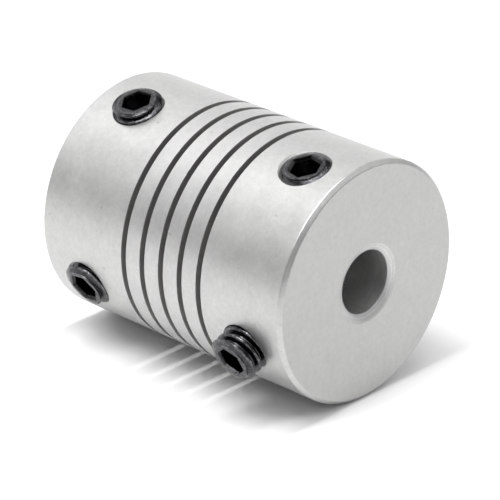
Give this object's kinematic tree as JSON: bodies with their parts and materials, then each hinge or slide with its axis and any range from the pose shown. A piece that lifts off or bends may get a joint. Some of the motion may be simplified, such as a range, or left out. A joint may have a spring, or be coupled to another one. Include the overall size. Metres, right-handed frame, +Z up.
{
  "type": "beam coupling",
  "caption": "Short one-piece slit shaft coupling with different bores at its two ends and radial set screws, to join two slightly misaligned shafts.",
  "frame": {"origin": "centre of the 5 mm bore's mouth, on the drive end face", "axes": "+X along the shaft axis, out of the 5 mm end; the body runs to -X; +Z up, with one row of set screws about 18 degrees from +Z towards -Y"},
  "size_m": [0.025, 0.0204, 0.0195],
  "materials": {
    "body_aluminium": "bead-blasted and clear anodised, satin silver",
    "screw_steel": "black oxide on hardened steel, slightly glossy"
  },
  "bodies": {
    "drive_hub": {"hub_drive": "body_aluminium"},
    "ring_1": {"ring_1": "body_aluminium", "web_1": "body_aluminium"},
    "ring_2": {"ring_2": "body_aluminium", "web_2": "body_aluminium"},
    "ring_3": {"ring_3": "body_aluminium", "web_3": "body_aluminium"},
    "ring_4": {"ring_4": "body_aluminium", "web_4": "body_aluminium"},
    "driven_hub": {"hub_driven": "body_aluminium", "web_5": "body_aluminium"},
    "screw_drive_upper": {"set_screw_drive_upper": "screw_steel"},
    "screw_drive_side": {"set_screw_drive_side": "screw_steel"},
    "screw_driven_upper": {"set_screw_driven_upper": "screw_steel"},
    "screw_driven_side": {"set_screw_driven_side": "screw_steel"}
  },
  "joints": [
    {"name": "flexure_1", "type": "hinge", "parent": "drive_hub", "child": "ring_1", "pos_m": [-0.00825, 0.00257, -0.0079], "axis": [0, 0.9511, 0.309], "range_deg": [-0.7, 0.7], "stiffness_Nm_per_rad": 0.6, "deforming": ["web_1"]},
    {"name": "flexure_2", "type": "hinge", "parent": "ring_1", "child": "ring_2", "pos_m": [-0.0102, 0.0079, 0.00257], "axis": [0, -0.309, 0.9511], "range_deg": [-1, 1], "stiffness_Nm_per_rad": 0.6, "deforming": ["web_2"]},
    {"name": "flexure_3", "type": "hinge", "parent": "ring_2", "child": "ring_3", "pos_m": [-0.01215, 0.00257, -0.0079], "axis": [0, 0.9511, 0.309], "range_deg": [-0.7, 0.7], "stiffness_Nm_per_rad": 0.6, "deforming": ["web_3"]},
    {"name": "flexure_4", "type": "hinge", "parent": "ring_3", "child": "ring_4", "pos_m": [-0.0141, 0.0079, 0.00257], "axis": [0, -0.309, 0.9511], "range_deg": [-1, 1], "stiffness_Nm_per_rad": 0.6, "deforming": ["web_4"]},
    {"name": "flexure_5", "type": "hinge", "parent": "ring_4", "child": "driven_hub", "pos_m": [-0.01605, 0.00257, -0.0079], "axis": [0, 0.9511, 0.309], "range_deg": [-0.7, 0.7], "stiffness_Nm_per_rad": 0.6, "deforming": ["web_5"]},
    {"name": "turn_drive_upper", "type": "slide", "parent": "drive_hub", "child": "screw_drive_upper", "axis": [0, -0.294, 0.9558], "range_m": [-0.00205, 0.00505]},
    {"name": "turn_drive_side", "type": "slide", "parent": "drive_hub", "child": "screw_drive_side", "axis": [0, -0.9272, -0.3746], "range_m": [-0.0036, 0.0035]},
    {"name": "turn_driven_upper", "type": "slide", "parent": "driven_hub", "child": "screw_driven_upper", "axis": [0, -0.3223, 0.9466], "range_m": [-0.0011, 0.0045]},
    {"name": "turn_driven_side", "type": "slide", "parent": "driven_hub", "child": "screw_driven_side", "axis": [0, -0.9092, -0.4163], "range_m": [-0.001, 0.0046]}
  ]
}
